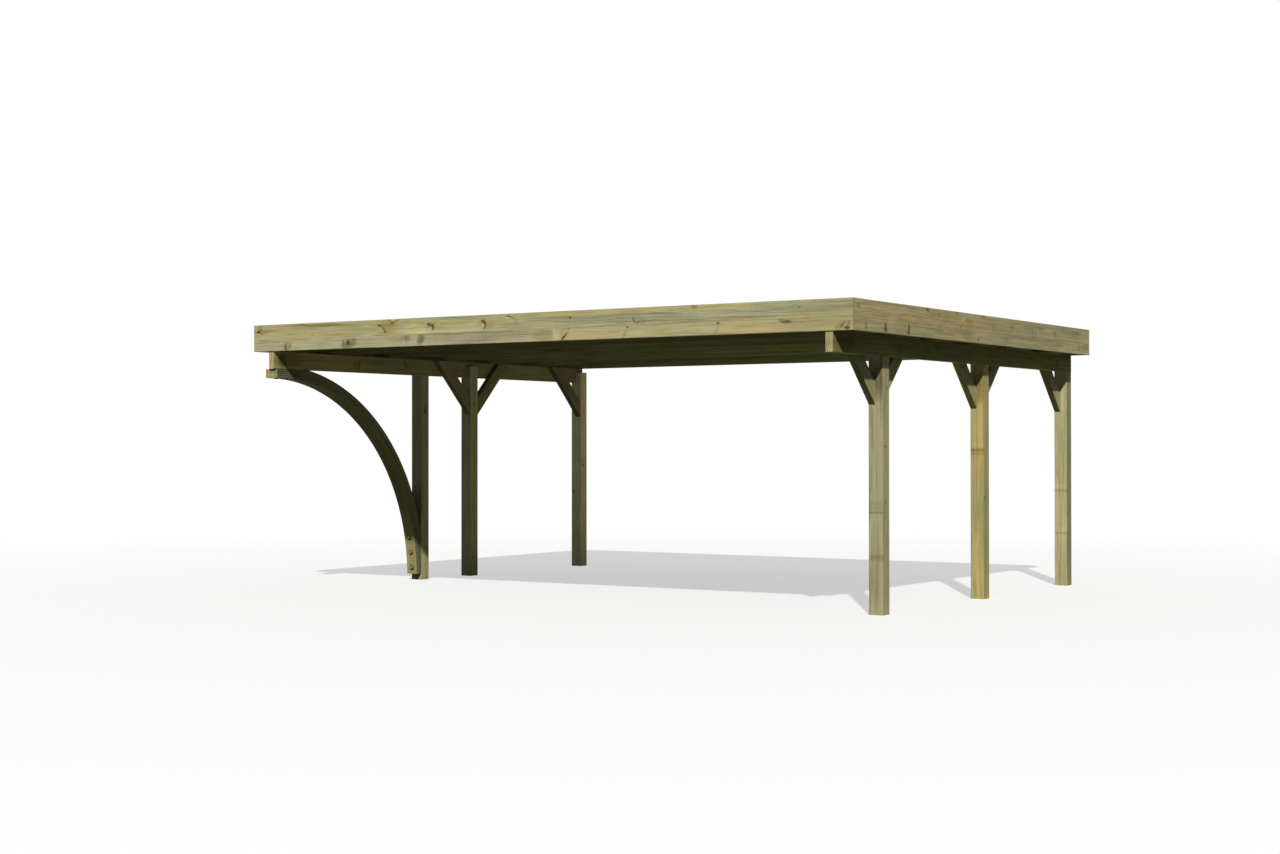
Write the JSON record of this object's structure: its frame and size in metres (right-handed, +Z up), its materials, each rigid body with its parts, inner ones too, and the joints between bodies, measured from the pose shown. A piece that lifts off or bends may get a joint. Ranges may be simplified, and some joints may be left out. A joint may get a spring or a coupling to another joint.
{
  "type": "timber carport",
  "caption": "Open double carport of square timber posts and side beams with knee braces, a curved laminated entry brace, joists, a deep board fascia and a flat ribbed steel roof.",
  "frame": {"origin": "on the ground, under the middle of the roof", "axes": "+X to the right seen from the front, +Y to the rear, +Z up; the front fascia and the curved brace's nose face -Y"},
  "size_m": [6, 4.815, 2.387],
  "materials": {
    "post_timber": "rough sawn pressure-treated pine, yellow-green with brown patches, matt",
    "frame_timber": "sawn pressure-treated pine, olive brown, matt",
    "laminated_timber": "planed pressure-treated laminated pine, greenish grey with fine glue lines, matt",
    "fascia_timber": "planed pressure-treated pine boards with knots, tan to grey-olive, matt",
    "galvanised_steel": "dull galvanised steel",
    "roof_steel": "coated steel sheet, mid grey, half matt"
  },
  "bodies": {
    "root": {"post_right_front": "post_timber", "post_right_middle": "post_timber", "post_right_rear": "post_timber", "post_left_entry": "post_timber", "post_left_middle": "post_timber", "post_left_rear": "post_timber", "beam_right": "frame_timber", "beam_left": "frame_timber", "brace_right_front_fore": "frame_timber", "brace_right_front_aft": "frame_timber", "brace_right_middle_fore": "frame_timber", "brace_right_middle_aft": "frame_timber", "brace_right_rear_fore": "frame_timber", "brace_left_middle_fore": "frame_timber", "brace_left_middle_aft": "frame_timber", "brace_left_rear_fore": "frame_timber", "entry_arch": "laminated_timber", "arch_foot_bolts": "galvanised_steel", "arch_nose_bolts": "galvanised_steel", "joist_1": "frame_timber", "joist_2": "frame_timber", "joist_3": "frame_timber", "joist_4": "frame_timber", "joist_5": "frame_timber", "joist_6": "frame_timber", "joist_7": "frame_timber", "fascia_front_upper": "fascia_timber", "fascia_front_lower_left": "fascia_timber", "fascia_front_lower_right": "fascia_timber", "fascia_rear_upper": "fascia_timber", "fascia_rear_lower_left": "fascia_timber", "fascia_rear_lower_right": "fascia_timber", "fascia_left_upper": "fascia_timber", "fascia_left_lower": "fascia_timber", "fascia_right_upper": "fascia_timber", "fascia_right_lower": "fascia_timber", "roof_sheet_1": "roof_steel", "roof_sheet_2": "roof_steel", "roof_sheet_3": "roof_steel", "roof_sheet_4": "roof_steel", "roof_sheet_5": "roof_steel", "roof_sheet_6": "roof_steel"}
  },
  "joints": []
}
